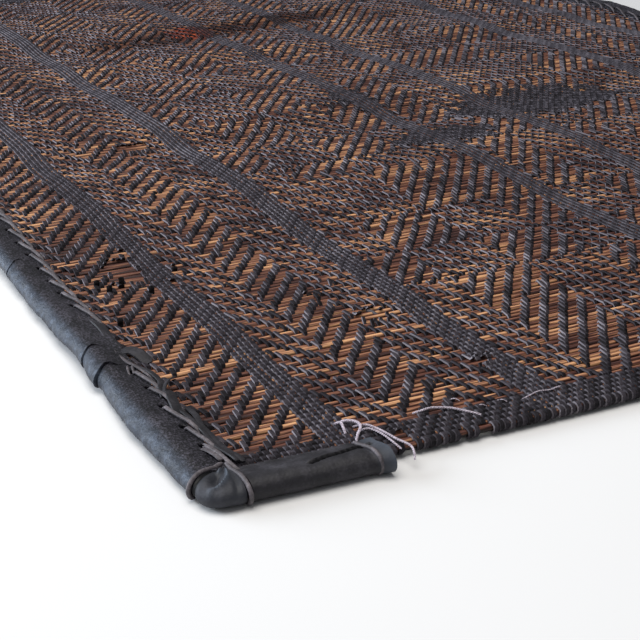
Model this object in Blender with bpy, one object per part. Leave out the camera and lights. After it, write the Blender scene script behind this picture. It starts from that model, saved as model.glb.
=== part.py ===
# A reed mat: a panel of thin straight reeds held side by side by dark leather
# thongs woven across them, its two reed ends and its corners bound in leather.
# X runs along the reeds, Y along the thongs, +Z up. The origin is on the floor
# under the middle of the mat. Sizes here are metres.

import math

import bmesh
import bpy
from mathutils import Vector

MM = 0.001
PIECE_GAP = 0.3 * MM               # between pieces that touch

# Panel of woven reeds
PANEL_HALF_WIDTH = 357.8 * MM      # half of a reed's length
PANEL_HALF_LENGTH = 481.0 * MM     # half of the woven length, along the bindings
PANEL_BOW = 16.2 * MM              # how far the middle of each end stands out past that
PANEL_BOTTOM = 1.1 * MM
PANEL_TOP = 5.9 * MM
BAND_RISE = 0.4 * MM               # closely woven bands and selvedges stand this proud
BAND_RAMP = 1.0 * MM
SELVEDGE_WIDTH = 21.0 * MM
SELVEDGE_START = PANEL_HALF_LENGTH - SELVEDGE_WIDTH
FIELD_COLUMNS = (120.0 * MM, 245.0 * MM)   # extra columns of points, between bands
ROW_MARGIN = 2.0 * MM              # least room between a piece's end row and the next

# Leather binding, wrapped round the reed ends and round the corners
BINDING_WIDTH = 18.5 * MM
BINDING_CROWN_Z = 9.6 * MM         # top of the rolled outer side
BINDING_CROWN_S = 12.5 * MM        # where that top is, from the inner edge outwards
FLAP_TOP = 7.5 * MM                # thin inner flap that lies on the reeds
SLOT_BOTTOM = 0.8 * MM
SLOT_TOP = 6.6 * MM
SLOT_DEPTH = 14.2 * MM
REED_INSET = 6.5 * MM              # from the binding's outer side to the reed ends

# Corners: a bulging cap, a thong ring at each end of it, and a short sleeve
CORNER_X = PANEL_HALF_WIDTH + REED_INSET - BINDING_WIDTH
CORNER_Y = 474.4 * MM
RING_RADIUS = 1.1 * MM
RING_GAP = 2.8 * MM                # room for a ring between two leather pieces
RING_START = 1.5 * MM              # keeps a corner's two rings apart
RING_FLOOR_GAP = 0.1 * MM          # under a ring's foot
CAP_BULGE = 0.07                   # the cap is this much fuller at its middle
CAP_INNER = 2.0 * MM               # the cap's inner edge, from the binding's inner edge
SLEEVE_END_X = 283.6 * MM
SLEEVE_COLLAR = 5.0 * MM           # length of the flared end
SLEEVE_FLARE = 1.06

CAP_STEPS = 7
SLEEVE_STEPS = 6
TOP_STEPS = 4
NOSE_STEPS = 7
ROWS_PER_WAVE = 3
SHARP_ANGLE = math.radians(40)     # edges sharper than this stay crisp

# Closely woven dark bands: inner and outer distance from the mat's middle
BANDS = [
    # near, far
    (33.7 * MM, 47.9 * MM),
    (190.4 * MM, 205.9 * MM),
    (286.2 * MM, 299.1 * MM),
]

# The mat lies in low waves that run along the reeds: place along Y, lift
WAVES = [
    # y, lift
    (-481.0 * MM, 0.0 * MM),
    (-386.0 * MM, 0.0 * MM),
    (-352.0 * MM, 2.0 * MM),
    (-316.0 * MM, 1.0 * MM),
    (-269.0 * MM, 0.0 * MM),
    (-218.0 * MM, 2.5 * MM),
    (-179.0 * MM, 5.0 * MM),
    (-127.0 * MM, 4.0 * MM),
    (-83.0 * MM, 1.5 * MM),
    (-36.0 * MM, 5.0 * MM),
    (41.0 * MM, 4.0 * MM),
    (119.0 * MM, 0.5 * MM),
    (158.0 * MM, 2.5 * MM),
    (223.0 * MM, 0.0 * MM),
    (275.0 * MM, 3.0 * MM),
    (378.0 * MM, 1.0 * MM),
    (430.0 * MM, 0.0 * MM),
    (481.0 * MM, 0.0 * MM),
]


def lift_at(y):
    """Height of the mat's underside over the floor, eased from wave to wave."""
    y = max(WAVES[0][0], min(WAVES[-1][0], y))
    for (y0, low), (y1, high) in zip(WAVES, WAVES[1:]):
        if y <= y1:
            share = (y - y0) / (y1 - y0)
            return low + (high - low) * (0.5 - 0.5 * math.cos(math.pi * share))
    return WAVES[-1][1]


def wave_rows(limit):
    """Y of each row of points, denser where the mat rises or falls."""
    rows = []
    for (y0, low), (y1, high) in zip(WAVES, WAVES[1:]):
        steps = 1 if low == high else ROWS_PER_WAVE
        rows += [y0 + (y1 - y0) * step / steps for step in range(steps)]
    inside = [y for y in rows if abs(y) < limit - ROW_MARGIN]
    return [-limit] + inside + [limit]


def bow_at(x):
    """How far a reed at the mat's end stands out at this place along it."""
    return PANEL_BOW * (1.0 - (x / PANEL_HALF_WIDTH) ** 2)


def material(name, colour, roughness):
    made = bpy.data.materials.new(name)
    made.use_nodes = True
    shader = made.node_tree.nodes["Principled BSDF"]
    shader.inputs["Base Color"].default_value = (*colour, 1.0)
    shader.inputs["Roughness"].default_value = roughness
    shader.inputs["Metallic"].default_value = 0.0
    return made


def finish(name, bm, made):
    """Turn a closed bmesh into an object with its faces out."""
    bmesh.ops.recalc_face_normals(bm, faces=bm.faces)
    mesh = bpy.data.meshes.new(name)
    bm.to_mesh(mesh)
    bm.free()
    mesh.materials.append(made)
    mesh.shade_smooth()
    mesh.set_sharp_from_angle(angle=SHARP_ANGLE)
    piece = bpy.data.objects.new(name, mesh)
    bpy.context.collection.objects.link(piece)
    return piece


def panel_columns():
    """X of each column of points: the edges, the middle and each band's ramps."""
    half = [PANEL_HALF_WIDTH, *FIELD_COLUMNS]
    for near, far in BANDS:
        half += [near - BAND_RAMP, near, far, far + BAND_RAMP]
    return sorted([-x for x in half] + [0.0] + half)


def panel_rows():
    """Y of each row of the panel's points: the waves and each selvedge's ramp."""
    ramp = (SELVEDGE_START, SELVEDGE_START - BAND_RAMP)
    return sorted(wave_rows(PANEL_HALF_LENGTH) + [-y for y in ramp] + list(ramp))


def band_rise(x, y):
    """Extra height of the closely woven bands and of the two selvedges."""
    in_band = any(near <= abs(x) <= far for near, far in BANDS)
    return BAND_RISE if in_band or abs(y) >= SELVEDGE_START else 0.0


def woven_panel():
    """One slab: its points follow the waves, the bowed ends and the raised bands."""
    columns = panel_columns()
    rows = panel_rows()
    bm = bmesh.new()
    top = []
    bottom = []
    for y in rows:
        spread = y / PANEL_HALF_LENGTH
        place = [(x, y + bow_at(x) * spread, lift_at(y)) for x in columns]
        top.append([bm.verts.new((x, v, z + PANEL_TOP + band_rise(x, y)))
                    for x, v, z in place])
        bottom.append([bm.verts.new((x, v, z + PANEL_BOTTOM)) for x, v, z in place])
    last_row = len(rows) - 1
    last_column = len(columns) - 1
    for r in range(last_row):
        for c in range(last_column):
            for sheet in (top, bottom):
                bm.faces.new((sheet[r][c], sheet[r][c + 1],
                              sheet[r + 1][c + 1], sheet[r + 1][c]))
        for c in (0, last_column):
            bm.faces.new((bottom[r][c], bottom[r + 1][c], top[r + 1][c], top[r][c]))
    for c in range(last_column):
        for r in (0, last_row):
            bm.faces.new((bottom[r][c], bottom[r][c + 1], top[r][c + 1], top[r][c]))
    return bm


def outer_line(grow=1.0):
    """The leather's outer side, from the flap on top, round the nose, to the floor.

    Each point is (distance outwards from the inner edge, height).
    """
    crown = BINDING_CROWN_Z * grow
    nose = (BINDING_WIDTH - BINDING_CROWN_S) * grow
    points = []
    for step in range(TOP_STEPS):
        share = step / TOP_STEPS
        ease = 0.5 - 0.5 * math.cos(math.pi * share)
        points.append((BINDING_CROWN_S * share, FLAP_TOP + (crown - FLAP_TOP) * ease))
    for step in range(NOSE_STEPS + 1):
        turn = math.pi * step / NOSE_STEPS
        points.append((BINDING_CROWN_S + nose * math.sin(turn),
                       crown * (0.5 + 0.5 * math.cos(turn))))
    return points


def leather_profile(grow=1.0):
    """Section of the binding: the outer side, the flat under it, the reeds' slot."""
    slot = [(0.0, 0.0), (0.0, SLOT_BOTTOM), (SLOT_DEPTH, SLOT_BOTTOM),
            (SLOT_DEPTH, SLOT_TOP), (0.0, SLOT_TOP)]
    return outer_line(grow) + slot


def loft(sections):
    """A closed body through like sections, with a face at each end."""
    bm = bmesh.new()
    loops = [[bm.verts.new(point) for point in section] for section in sections]
    count = len(loops[0])
    for first, second in zip(loops, loops[1:]):
        for i in range(count):
            j = (i + 1) % count
            bm.faces.new((first[i], first[j], second[j], second[i]))
    bm.faces.new(loops[0])
    bm.faces.new(loops[-1])
    return bm


def binding(side):
    """The leather along one row of reed ends, straight in plan, on the waves."""
    profile = leather_profile()
    sections = []
    for y in wave_rows(CORNER_Y - RING_GAP / 2):
        rise = lift_at(y)
        sections.append([(side * (CORNER_X + s), y, z + rise) for s, z in profile])
    return loft(sections)


def corner_cap(side, end):
    """The bulging leather cap, turned a quarter round just past the inner corner."""
    hub = RING_GAP / 2
    sections = []
    for step in range(CAP_STEPS + 1):
        share = step / CAP_STEPS
        turn = math.pi / 2 * share
        section = []
        for s, z in leather_profile(1.0 + CAP_BULGE * math.sin(math.pi * share)):
            radius = max(s, CAP_INNER) - hub
            section.append((side * (CORNER_X + hub + radius * math.cos(turn)),
                            end * (CORNER_Y + hub + radius * math.sin(turn)), z))
        sections.append(section)
    return loft(sections)


def sleeve_edge(x):
    """Y of the sleeve's inner edge, which keeps to the bowed end of the panel."""
    return CORNER_Y + bow_at(x) - bow_at(CORNER_X)


def edge_sleeve(side, end):
    """The short leather sleeve over the selvedge, with a flared end."""
    start = CORNER_X - RING_GAP / 2
    flare_start = SLEEVE_END_X + SLEEVE_COLLAR
    stations = [start + (flare_start - start) * step / (SLEEVE_STEPS - 1)
                for step in range(SLEEVE_STEPS)]
    sections = []
    for x in stations + [SLEEVE_END_X]:
        profile = leather_profile(SLEEVE_FLARE if x == SLEEVE_END_X else 1.0)
        sections.append([(side * x, end * (sleeve_edge(x) + s), z) for s, z in profile])
    return loft(sections)


def thong_ring(side, end, across):
    """A round thong bent over the leather, from the flap to the floor.

    It fills the gap between the cap and the binding, or the cap and the sleeve.
    """
    inset = RING_RADIUS / 2
    over_reeds = PANEL_TOP + BAND_RISE + RING_RADIUS + PIECE_GAP
    over_floor = RING_RADIUS + RING_FLOOR_GAP
    points = []
    for s, z in outer_line():
        height = max(z - inset, over_reeds if s < BINDING_CROWN_S else over_floor)
        reach = min(max(s, RING_START), BINDING_WIDTH - inset)
        if across == "binding":
            place = (CORNER_X + reach, CORNER_Y)
        else:
            place = (CORNER_X, CORNER_Y + reach)
        points.append(Vector((side * place[0], end * place[1], height)))
    curve = bpy.data.curves.new("thong", "CURVE")
    curve.dimensions = "3D"
    curve.bevel_depth = RING_RADIUS
    curve.bevel_resolution = 1
    curve.use_fill_caps = True
    spline = curve.splines.new("POLY")
    spline.points.add(len(points) - 1)
    for target, point in zip(spline.points, points):
        target.co = (*point, 1.0)
    return curve


def main():
    for old in list(bpy.data.objects):
        bpy.data.objects.remove(old)

    woven = material("woven_reed", (0.16, 0.10, 0.075), 0.7)
    leather = material("dark_leather", (0.045, 0.048, 0.056), 0.5)
    thong = material("thong_leather", (0.12, 0.11, 0.11), 0.6)

    finish("reed_panel", woven_panel(), woven)
    for side, side_name in ((-1, "left"), (1, "right")):
        finish(f"binding_{side_name}", binding(side), leather)
        for end, end_name in ((-1, "front"), (1, "back")):
            corner = f"{end_name}_{side_name}"
            finish(f"corner_cap_{corner}", corner_cap(side, end), leather)
            finish(f"edge_sleeve_{corner}", edge_sleeve(side, end), leather)
            for across in ("binding", "sleeve"):
                curve = thong_ring(side, end, across)
                curve.materials.append(thong)
                ring = bpy.data.objects.new(f"thong_ring_{corner}_{across}", curve)
                bpy.context.collection.objects.link(ring)


main()
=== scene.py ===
import math

import bpy
import numpy as np
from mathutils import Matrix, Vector, noise


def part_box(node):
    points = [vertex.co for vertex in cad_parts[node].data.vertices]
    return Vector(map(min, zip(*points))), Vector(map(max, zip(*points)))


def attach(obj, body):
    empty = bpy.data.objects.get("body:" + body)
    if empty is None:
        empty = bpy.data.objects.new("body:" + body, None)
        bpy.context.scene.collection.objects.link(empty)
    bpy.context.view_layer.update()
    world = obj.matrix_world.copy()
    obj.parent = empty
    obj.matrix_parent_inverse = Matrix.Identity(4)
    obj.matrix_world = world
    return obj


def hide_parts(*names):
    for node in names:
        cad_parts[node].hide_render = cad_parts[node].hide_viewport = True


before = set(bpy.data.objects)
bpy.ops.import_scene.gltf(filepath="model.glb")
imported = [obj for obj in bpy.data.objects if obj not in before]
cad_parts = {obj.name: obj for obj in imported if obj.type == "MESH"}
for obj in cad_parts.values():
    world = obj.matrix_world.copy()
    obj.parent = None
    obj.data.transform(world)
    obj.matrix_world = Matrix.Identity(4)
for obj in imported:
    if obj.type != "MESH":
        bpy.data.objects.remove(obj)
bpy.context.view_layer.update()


# Reeds
# Two hundred and sixty-four straight dry grass stems, each about three millimetres
# thick, laid side by side and cut to one length. Their colour runs from straw to
# dark brown. The leather thongs alone hold them.
MM = 0.001
REED_COUNT = 264
REED_RADIUS = 1.68 * MM            # of the thickest stem
REED_THINNEST = 0.86               # the thinnest, against it
REED_SHORT = 0.4 * MM              # the stems end this far inside the panel's sides
REED_SIDES = 6
REED_STATIONS = 17
REED_CREASE = 75.0                 # degrees, so that only the cut ends have a sharp edge
REED_MIDDLE = 2.4 * MM             # from the panel's underside to a reed's middle
REED_SWAY = 0.25 * MM              # a stem is never quite straight
SWAY_WAVES = 5.0
SWAY_START = 9000.0
SWAY_ASIDE = 0.6
SWAY_UP = 0.3
SIDE_NEAR = 0.1 * MM

panel_points = np.array([v.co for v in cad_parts["reed_panel"].data.vertices])
half_width = panel_points[:, 0].max()
edge_points = panel_points[panel_points[:, 0] > half_width - SIDE_NEAR]
half_length = edge_points[:, 1].max()
end_bow = panel_points[:, 1].max() - half_length

# The underside's rise and fall along Y, eased. It is read from the panel's edge,
# where that has points on its upper and its lower side.
EDGE_DEPTH = 3.0 * MM
SAME_ROW = 0.05 * MM
EASE_STEP = 1.0 * MM
EASE_ROWS = 17
edge_rows = []
edge_floor = []
for y in np.unique(np.round(edge_points[:, 1], 5)):
    heights = edge_points[abs(edge_points[:, 1] - y) < SAME_ROW][:, 2]
    if np.ptp(heights) > EDGE_DEPTH:
        edge_rows.append(y)
        edge_floor.append(heights.min())
ease_rows = np.arange(-half_length, half_length + EASE_STEP, EASE_STEP)
ease_window = np.hanning(EASE_ROWS) / np.hanning(EASE_ROWS).sum()
rough_floor = np.pad(np.interp(ease_rows, edge_rows, edge_floor), EASE_ROWS // 2, mode="edge")
ease_floor = np.convolve(rough_floor, ease_window, mode="valid")


def underside(y):
    return np.interp(y, ease_rows, ease_floor)


def bowed(x, y):
    """Y of a straight row once the mat's ends bow out."""
    return y * (1.0 + end_bow * (1.0 - (x / half_width) ** 2) / half_length)


reed_pitch = 2.0 * half_length / REED_COUNT
reed_rows = -half_length + reed_pitch * (np.arange(REED_COUNT) + 0.5)
dice = np.random.default_rng(11)


def make_mesh(name, points, faces):
    mesh = bpy.data.meshes.new(name)
    mesh.from_pydata(points.tolist(), [], faces)
    mesh.validate()
    piece = bpy.data.objects.new(name, mesh)
    bpy.context.scene.collection.objects.link(piece)
    return piece


def tube_faces(first, rings, sides):
    """Faces between rings of points, the first of which has the number first."""
    faces = []
    for k in range(rings - 1):
        for s in range(sides):
            a = first + k * sides + s
            b = first + k * sides + (s + 1) % sides
            faces.append((a, b, b + sides, a + sides))
    return faces


def smooth_shade(piece, crease):
    """Shades a piece smooth, but for edges where its faces turn by more than crease degrees."""
    piece.data.shade_smooth()
    piece.data.set_sharp_from_angle(angle=math.radians(crease))


def paint(piece, name, colours, domain):
    """Keeps a colour for each point or face corner, for the material to read."""
    layer = piece.data.color_attributes.new(name=name, type="FLOAT_COLOR", domain=domain)
    layer.data.foreach_set("color", np.asarray(colours, dtype=np.float32).ravel())


stations = np.linspace(-half_width + REED_SHORT, half_width - REED_SHORT, REED_STATIONS)
bend = stations / half_width
around = np.arange(REED_SIDES) * 2.0 * math.pi / REED_SIDES
reed_points = []
reed_faces = []
reed_tones_and_shade = []
for row in reed_rows:
    thick = REED_RADIUS * dice.uniform(REED_THINNEST, 1.0)
    sway = dice.normal(0.0, REED_SWAY, 3)
    tone = dice.uniform(0.0, 1.0)
    drift = sway[0] * bend + sway[1] * np.sin(bend * SWAY_WAVES + sway[2] * SWAY_START)
    ys = bowed(stations, row) + SWAY_ASIDE * drift
    zs = underside(row) + REED_MIDDLE + SWAY_UP * drift
    first = len(reed_points) * REED_STATIONS * REED_SIDES
    ring = np.zeros((REED_STATIONS, REED_SIDES, 3))
    ring[:, :, 0] = stations[:, None]
    ring[:, :, 1] = ys[:, None] + thick * np.cos(around)[None, :]
    ring[:, :, 2] = zs[:, None] + thick * np.sin(around)[None, :]
    reed_points.append(ring.reshape(-1, 3))
    # Each point keeps the reed's tone and how high it sits round the reed; the lower points get painted
    # shade.
    reed_tones_and_shade += [(tone, 0.0, 0.5 + 0.5 * math.sin(turn), 1.0) for turn in around] * REED_STATIONS
    reed_faces += tube_faces(first, REED_STATIONS, REED_SIDES)
    last = first + (REED_STATIONS - 1) * REED_SIDES
    reed_faces.append(tuple(first + s for s in reversed(range(REED_SIDES))))
    reed_faces.append(tuple(last + s for s in range(REED_SIDES)))
reeds = make_mesh("reeds", np.vstack(reed_points), reed_faces)
smooth_shade(reeds, REED_CREASE)
paint(reeds, "tone", reed_tones_and_shade, "POINT")


def new_material(name):
    made = bpy.data.materials.new(name)
    made.use_nodes = True
    tree = made.node_tree
    return made, tree, tree.nodes["Principled BSDF"]


def object_noise(tree, scale, stretch=(1.0, 1.0, 1.0), detail=3.0, rough=0.55):
    """Noise on the piece's own metres; stretch is how much finer it is along each axis."""
    place = tree.nodes.new("ShaderNodeTexCoord")
    turn = tree.nodes.new("ShaderNodeMapping")
    turn.inputs["Scale"].default_value = stretch
    grain = tree.nodes.new("ShaderNodeTexNoise")
    grain.inputs["Scale"].default_value = scale
    grain.inputs["Detail"].default_value = detail
    grain.inputs["Roughness"].default_value = rough
    tree.links.new(place.outputs["Object"], turn.inputs["Vector"])
    tree.links.new(turn.outputs["Vector"], grain.inputs["Vector"])
    return grain.outputs["Fac"]


def ramp(tree, value, stops):
    """Colour for each value, from a short list of (value, colour)."""
    node = tree.nodes.new("ShaderNodeValToRGB")
    band = node.color_ramp
    while len(band.elements) < len(stops):
        band.elements.new(0.5)
    for element, (at, colour) in zip(band.elements, stops):
        element.position = at
        element.color = (*colour, 1.0)
    tree.links.new(value, node.inputs["Fac"])
    return node.outputs["Color"]


def feed(tree, socket, value):
    """Gives a socket a number, a colour, or what another node puts out."""
    if isinstance(value, (int, float)):
        socket.default_value = value
    elif isinstance(value, tuple):
        socket.default_value = (*value, 1.0)
    else:
        tree.links.new(value, socket)


def math_node(tree, kind, first, second):
    node = tree.nodes.new("ShaderNodeMath")
    node.operation = kind
    feed(tree, node.inputs[0], first)
    feed(tree, node.inputs[1], second)
    return node.outputs["Value"]


def weighted(tree, *parts):
    """The sum of (value, middle, weight) parts: each value less its middle, times its weight."""
    total = None
    for value, middle, weight in parts:
        if middle:
            value = math_node(tree, "SUBTRACT", value, middle)
        part = math_node(tree, "MULTIPLY", value, weight)
        total = part if total is None else math_node(tree, "ADD", total, part)
    return total


def mix_colour(tree, share, first, second, kind="MIX"):
    node = tree.nodes.new("ShaderNodeMix")
    node.data_type = "RGBA"
    node.blend_type = kind
    for place, value in (("Factor", share), (6, first), (7, second)):
        feed(tree, node.inputs[place], value)
    return node.outputs[2]


def bump(tree, shader, height, depth, strength=1.0):
    node = tree.nodes.new("ShaderNodeBump")
    node.inputs["Strength"].default_value = strength
    node.inputs["Distance"].default_value = depth
    tree.links.new(height, node.inputs["Height"])
    tree.links.new(node.outputs["Normal"], shader.inputs["Normal"])


def surface(tree, shader, colour, rough, gloss=0.5):
    """Feeds the shader its colour, its roughness and how strongly it reflects."""
    feed(tree, shader.inputs["Base Color"], colour)
    feed(tree, shader.inputs["Roughness"], rough)
    feed(tree, shader.inputs["Specular IOR Level"], gloss)


def read_paint(tree, name):
    """The three numbers kept in a painted colour."""
    layer = tree.nodes.new("ShaderNodeAttribute")
    layer.attribute_name = name
    parts = tree.nodes.new("ShaderNodeSeparateColor")
    tree.links.new(layer.outputs["Color"], parts.inputs["Color"])
    return parts.outputs


# The painted shade of a fold runs across the weave on the left, with a red patch in it: middle, half size.
FOLD_SHADE = (-25.0 * MM, 254.0 * MM), (170.0 * MM, 24.0 * MM)
RED_PATCH = (-55.0 * MM, 253.0 * MM), (24.0 * MM, 22.0 * MM)
OVAL_TURN = 0.19
OVAL_GRAIN = 45.0
OVAL_RAGGED = 1.1
FOLD_SHADED_REED = (0.50, 0.42, 0.40)
RED_REED = (1.25, 0.50, 0.34)


def ragged_oval(tree, middle, half_size):
    """1 inside an oval on the mat, 0 outside it, with a soft and ragged rim."""
    place = tree.nodes.new("ShaderNodeTexCoord")
    oval = tree.nodes.new("ShaderNodeMapping")
    oval.vector_type = "TEXTURE"
    oval.inputs["Location"].default_value = (*middle, 0.0)
    oval.inputs["Rotation"].default_value = (0.0, 0.0, OVAL_TURN)
    oval.inputs["Scale"].default_value = (*half_size, 1.0)
    length = tree.nodes.new("ShaderNodeVectorMath")
    length.operation = "LENGTH"
    tree.links.new(place.outputs["Object"], oval.inputs["Vector"])
    tree.links.new(oval.outputs["Vector"], length.inputs[0])
    uneven = weighted(tree, (object_noise(tree, OVAL_GRAIN, detail=2.0), 0.5, OVAL_RAGGED))
    reach = math_node(tree, "ADD", length.outputs["Value"], uneven)
    return ramp(tree, reach, [
        (0.70, (1.0, 1.0, 1.0)),
        (1.00, (0.0, 0.0, 0.0)),
    ])


def with_fold_shade(tree, colour, painted_shade, red):
    """A colour with the fold's painted shade on it, and with the red patch in that."""
    darkened = mix_colour(tree, 1.0, colour, painted_shade, "MULTIPLY")
    reddened = mix_colour(tree, 1.0, colour, red, "MULTIPLY")
    striped = mix_colour(tree, ragged_oval(tree, *FOLD_SHADE), colour, darkened)
    return mix_colour(tree, ragged_oval(tree, *RED_PATCH), striped, reddened)


straw, tree, shader = new_material("dry_reed")
tone = read_paint(tree, "tone")
streak = object_noise(tree, 1.0, stretch=(28.0, 900.0, 900.0), detail=4.0)
patch = object_noise(tree, 22.0, detail=2.0)
shade = weighted(tree, (tone[0], 0.5, 0.36), (streak, 0.23, 1.9), (patch, 0.5, 0.8))
stem_colour = ramp(tree, shade, [
    (0.24, (0.034, 0.011, 0.009)),
    (0.44, (0.130, 0.046, 0.030)),
    (0.62, (0.290, 0.125, 0.070)),
    (0.88, (0.720, 0.390, 0.190)),
])
# Painted shade: each reed is darkened on its lower sides and underside, and its top is left as it is.
underside_shade = ramp(tree, tone[2], [
    (0.50, (0.06, 0.045, 0.04)),
    (0.95, (1.0, 1.0, 1.0)),
])
stem = mix_colour(tree, 1.0, stem_colour, underside_shade, "MULTIPLY")
surface(tree, shader, with_fold_shade(tree, stem, FOLD_SHADED_REED, RED_REED), 0.5, 0.3)
bump(tree, shader, streak, 0.25 * MM, 0.8)
reeds.data.materials.append(straw)
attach(reeds, "root")
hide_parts("reed_panel")


# Woven thongs
# Narrow strips of thin dark leather, cut by hand and woven the length of the mat. Each
# passes over two reeds and under two, so its floats lean in ridges. In the bands and at
# both ends of the mat each place holds two, one over each reed that the other is under.
THONG_PITCH = 2.8 * MM
BAND_PITCH = 3.2 * MM
FLOAT_REEDS = 2                    # reeds that a thong passes over, and then under
THONG_WIDTH = 2.7 * MM
THONG_THICK = 0.85 * MM
FLOAT_LEAN = 1.0 * MM              # a float's back end lies this far to one side
THONG_CREASE = 40.0                # degrees
LEAN_MOST = 0.1                    # mm that a whole thong may lie to one side
JOG_MOST = 0.15                    # mm for each float
WAVER = 0.22 * MM                  # short waves of each thong, then radians a metre and a thong
WAVER_ALONG = 47.0
WAVER_APART = 1.7
DRIFT = 0.5 * MM                   # long waves that neighbours share, then radians a metre
DRIFT_ALONG = 13.0
DRIFT_ACROSS = 21.0
WIDTHS = (0.93, 1.05)              # how much the width varies
THICKNESSES = (0.85, 1.1)
UNEVEN = 0.03                      # how much a float's length varies, in reed pitches
PINCH = 0.62                       # a thong is squeezed this narrow where it dives
TWIN_PINCH = 0.46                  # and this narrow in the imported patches
TWIN_SHIFT = 0.28 * MM             # there two thongs in one place lie this far aside on top
TWIN_DIVE = 0.70 * MM              # and this far aside where they dive past each other
BAND_SHIFT = 0.10 * MM             # in the bands and at the ends they lie nearly in line
BAND_WIDTH = 2.95 * MM
MISSED = 0.012                     # share of passes that the weaver missed
STUB_RISE = 1.5                    # a broken end stands this much higher than a float
SELVEDGE_ROWS = 5
FINE_X = -100.0 * MM               # nearer the front left corner a thong has more points
FINE_Y = -100.0 * MM

# How pale a cut edge looks in each kind of place, where 1 is beside the front left corner.
PLAIN_EDGE = 0.52
PACKED_EDGE = 0.15
BAND_EDGE = 0.28
FINE_BAND_EDGE = 0.65
SELVEDGE_EDGE = 0.45
CUT_END = 0.5
TONE_ALONG = 0.618                 # how far the tone moves on from float to float
TONE_ACROSS = 0.37                 # and from thong to thong
BAND_TONES = (0.42, 0.50)          # the bands' floats are paler: least, and how much more

# A thong's section, from its left cut edge: share of its half width and of its thickness.
FINE_SECTION = np.array([(-1.0, -0.35), (-0.86, 0.62), (0.12, 0.55), (1.0, -0.30)])
PLAIN_SECTION = np.array([(-1.0, -0.35), (-0.87, 0.62), (1.0, -0.20)])


def both_ways(*rings):
    """The rings of a pass: those past its last reed, and the same before its first reed."""
    return [(-past, height, width) for past, height, width in reversed(rings)] + list(rings)


# Rings along a pass: reeds' pitches past its first or last reed, height, width.
FINE_OVER = both_ways((0.24, 0.98, 0.94), (0.46, 0.35, PINCH))
FINE_TWIN = both_ways((0.26, 0.98, 0.96), (0.48, 0.55, TWIN_PINCH))
FINE_BAND = both_ways((0.20, 1.0, 1.0), (0.46, 0.55, 0.84))
PLAIN_OVER = both_ways((0.34, 0.95, 0.9))
PLAIN_TWIN = both_ways((0.30, 0.95, 1.0))
PLAIN_BAND = both_ways((0.42, 0.92, 0.96))
UNDER = both_ways((0.30, 0.95, 0.8))
UNDER_SINGLE = [(0.0, 0.95, 0.8)]

# How a thong turns round the mat's last reed: degrees over the level.
WRAP_TURNS = [-75.0, -40.0, -5.0, 30.0]

# Where the bands and the open stretches between them begin and end, in mm.
STRETCH_ENDS = [-350.0, -303.0, -288.0, -208.5, -193.0, -47.9, -33.7,
                33.7, 47.9, 193.0, 208.5, 288.0, 303.0, 350.0]

# Which way the floats lean in each column: R to the right going back, L to the left. A letter
# stands for a block of rows, from the front, and the letters start again where they run out.
COLUMNS = [
    # start x in mm, letters
    (-350.0, "L"),
    (-333.0, "R"),
    (-288.0, "L"),
    (-263.0, "R"),
    (-236.0, "L"),
    (-193.0, "LRLLLRLRLRLRLR"),
    (-167.0, "RL"),
    (-120.0, "LR"),
    (-79.0, "RLRRLLRLRLRLRL"),
    (-33.7, "L"),
    (-27.0, "RRLRRLRRLRRLRL"),
    (4.0, "LLRLLRLLRLLRLR"),
    (47.9, "RL"),
    (79.0, "RRLRL"),
    (139.0, "LLRLR"),
    (208.5, "L"),
    (236.0, "R"),
    (263.0, "L"),
    (303.0, "R"),
    (333.0, "L"),
]
BLOCK_STARTS = [-481.0, -344.0, -300.0, -246.0, -178.0, -153.0, -103.0, -40.0,
                30.0, 90.0, 160.0, 230.0, 300.0, 380.0]


def in_metres(rows):
    return [tuple(size * MM for size in row) for row in rows]


# Patches woven so close that no reed shows.
PACKED = in_metres([
    # x, y, half x, half y in mm
    (78.0, -90.0, 72.0, 36.0),
    (-35.0, -136.0, 42.0, 16.0),
    (-42.0, -28.0, 14.0, 34.0),
])

# Places where thongs have worn through and the reeds lie bare, or one thong is broken.
WORN = in_metres([
    # x, y, half x, half y in mm
    (-310.5, -263.0, 8.5, 16.0),
    (-229.0, -66.0, 12.0, 6.0),
    (-225.5, -366.0, 9.0, 5.0),
    (-301.5, -243.0, 1.8, 5.0),
    (-284.2, -273.0, 1.8, 5.0),
    (-292.1, -292.0, 1.8, 5.0),
    (-319.8, -283.0, 1.8, 6.0),
    (-224.1, -316.0, 1.8, 5.0),
    (-334.0, -330.0, 1.8, 5.0),
    (-241.0, -337.0, 1.8, 6.0),
    (-205.0, -428.5, 7.0, 2.6),
    (-274.0, -478.0, 3.4, 9.0),
    (-250.0, -479.2, 1.9, 2.6),
    (-240.0, -479.2, 2.4, 2.6),
])
RAGGED = 0.9
RAGGED_GRAIN = 90.0

stretch_ends = [x * MM for x in STRETCH_ENDS]
block_starts = [y * MM for y in BLOCK_STARTS]
reed_blocks = np.maximum(np.searchsorted(block_starts, reed_rows, side="right") - 1, 0)
stretches = []
thong_xs = []
thong_kinds = []
thong_homes = []
for number, (start, end) in enumerate(zip(stretch_ends, stretch_ends[1:])):
    kind = "band" if number % 2 else "field"
    stretches.append(f"thongs_{kind}_{number // 2 + 1}")
    count = round((end - start) / (BAND_PITCH if kind == "band" else THONG_PITCH))
    step = (end - start) / count
    for k in range(count):
        thong_xs.append(start + step * (k + 0.5))
        thong_kinds.append(kind)
        thong_homes.append(stretches[-1])
thong_count = len(thong_xs)
slips = dice.uniform(size=(thong_count, REED_COUNT))


def inside(spots, x, ys):
    """True for each y that lies in one of the ragged ovals."""
    hit = np.zeros(len(ys), dtype=bool)
    for sx, sy, rx, ry in spots:
        ragged = np.array([noise.noise(Vector((x * RAGGED_GRAIN, y * RAGGED_GRAIN, 3.0))) for y in ys])
        hit |= ((x - sx) / rx) ** 2 + ((ys - sy) / ry) ** 2 < 1.0 + RAGGED * ragged
    return hit


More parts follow.
